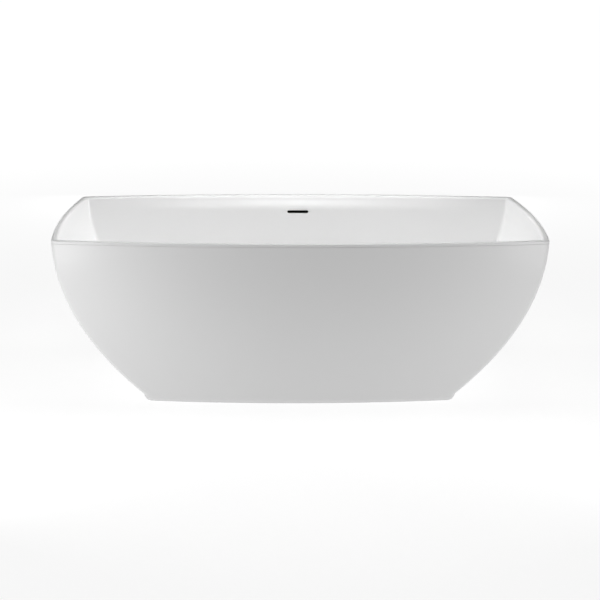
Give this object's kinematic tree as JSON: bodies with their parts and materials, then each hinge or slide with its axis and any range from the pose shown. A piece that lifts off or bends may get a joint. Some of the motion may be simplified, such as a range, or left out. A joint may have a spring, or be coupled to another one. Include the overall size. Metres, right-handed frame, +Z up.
{
  "type": "freestanding bathtub",
  "caption": "Freestanding white acrylic bathtub, bowed rectangular plan with swelling ends, slot overflow, pop-up waste, steel base frame and screw-adjusted levelling feet.",
  "frame": {"origin": "on the floor, at the centre of the tub's outline", "axes": "+X along the tub's length, +Y towards the long wall that has the overflow slot, +Z up"},
  "size_m": [1.7, 0.8, 0.6],
  "materials": {
    "acrylic": "gloss",
    "adhesive": "matte",
    "board": "matte",
    "galvanised": "satin",
    "zinc": "satin",
    "chrome": "polished",
    "brass": "satin",
    "spring_steel": "satin",
    "black_plastic": "satin",
    "white_plastic": "satin",
    "grey_hose": "satin",
    "rubber": "matte"
  },
  "bodies": {
    "tub": {"basin_shell": "acrylic", "outer_skirt": "acrylic", "rim_bond": "adhesive", "base_board": "board", "rail_front": "galvanised", "rail_back": "galvanised", "cross_member_left": "galvanised", "cross_member_right": "galvanised", "overflow_liner": "black_plastic", "overflow_gasket": "rubber", "overflow_chamber": "black_plastic", "overflow_hose": "grey_hose", "hose_clamp_top": "zinc", "hose_clamp_bottom": "zinc", "drain_flange": "chrome", "flange_gasket": "rubber", "lower_gasket": "rubber", "drain_locknut": "brass", "waste_tee": "white_plastic", "tailpiece": "white_plastic", "slip_washer": "rubber", "slip_nut": "white_plastic", "click_cartridge": "brass", "cartridge_spring": "spring_steel", "skirt_bracket_1": "galvanised", "bracket_screw_1": "zinc", "frame_bolt_1": "zinc", "board_screw_1": "zinc", "lock_nut_1": "zinc", "skirt_bracket_2": "galvanised", "bracket_screw_2": "zinc", "frame_bolt_2": "zinc", "board_screw_2": "zinc", "lock_nut_2": "zinc", "skirt_bracket_3": "galvanised", "bracket_screw_3": "zinc", "frame_bolt_3": "zinc", "board_screw_3": "zinc", "lock_nut_3": "zinc", "skirt_bracket_4": "galvanised", "bracket_screw_4": "zinc", "frame_bolt_4": "zinc", "board_screw_4": "zinc", "lock_nut_4": "zinc"},
    "stopper": {"stopper_cap": "chrome", "stopper_seal": "rubber", "stopper_stem": "brass"},
    "foot_1": {"foot_pad_1": "rubber"},
    "stud_1": {"foot_stud_1": "zinc"},
    "foot_2": {"foot_pad_2": "rubber"},
    "stud_2": {"foot_stud_2": "zinc"},
    "foot_3": {"foot_pad_3": "rubber"},
    "stud_3": {"foot_stud_3": "zinc"},
    "foot_4": {"foot_pad_4": "rubber"},
    "stud_4": {"foot_stud_4": "zinc"}
  },
  "joints": [
    {"name": "stopper_lift", "type": "slide", "parent": "tub", "child": "stopper", "axis": [0, 0, 1], "range_m": [0, 0.01], "deforming": ["cartridge_spring"]},
    {"name": "foot_1_lift", "type": "slide", "parent": "tub", "child": "foot_1", "axis": [0, 0, 1], "range_m": [-0.015, 0.008]},
    {"name": "foot_1_turn", "type": "hinge", "parent": "foot_1", "child": "stud_1", "pos_m": [-0.38, -0.205, 0], "axis": [0, 0, 1], "range_deg": [-3096, 1656]},
    {"name": "foot_2_lift", "type": "slide", "parent": "tub", "child": "foot_2", "axis": [0, 0, 1], "range_m": [-0.015, 0.008]},
    {"name": "foot_2_turn", "type": "hinge", "parent": "foot_2", "child": "stud_2", "pos_m": [0.38, -0.205, 0], "axis": [0, 0, 1], "range_deg": [-3096, 1656]},
    {"name": "foot_3_lift", "type": "slide", "parent": "tub", "child": "foot_3", "axis": [0, 0, 1], "range_m": [-0.015, 0.008]},
    {"name": "foot_3_turn", "type": "hinge", "parent": "foot_3", "child": "stud_3", "pos_m": [0.38, 0.205, 0], "axis": [0, 0, 1], "range_deg": [-3096, 1656]},
    {"name": "foot_4_lift", "type": "slide", "parent": "tub", "child": "foot_4", "axis": [0, 0, 1], "range_m": [-0.015, 0.008]},
    {"name": "foot_4_turn", "type": "hinge", "parent": "foot_4", "child": "stud_4", "pos_m": [-0.38, 0.205, 0], "axis": [0, 0, 1], "range_deg": [-3096, 1656]}
  ],
  "couplings": [
    {"joint": "foot_1_turn", "follows": "foot_1_lift", "rad_per_m": 3590.4},
    {"joint": "foot_2_turn", "follows": "foot_2_lift", "rad_per_m": 3590.4},
    {"joint": "foot_3_turn", "follows": "foot_3_lift", "rad_per_m": 3590.4},
    {"joint": "foot_4_turn", "follows": "foot_4_lift", "rad_per_m": 3590.4}
  ]
}
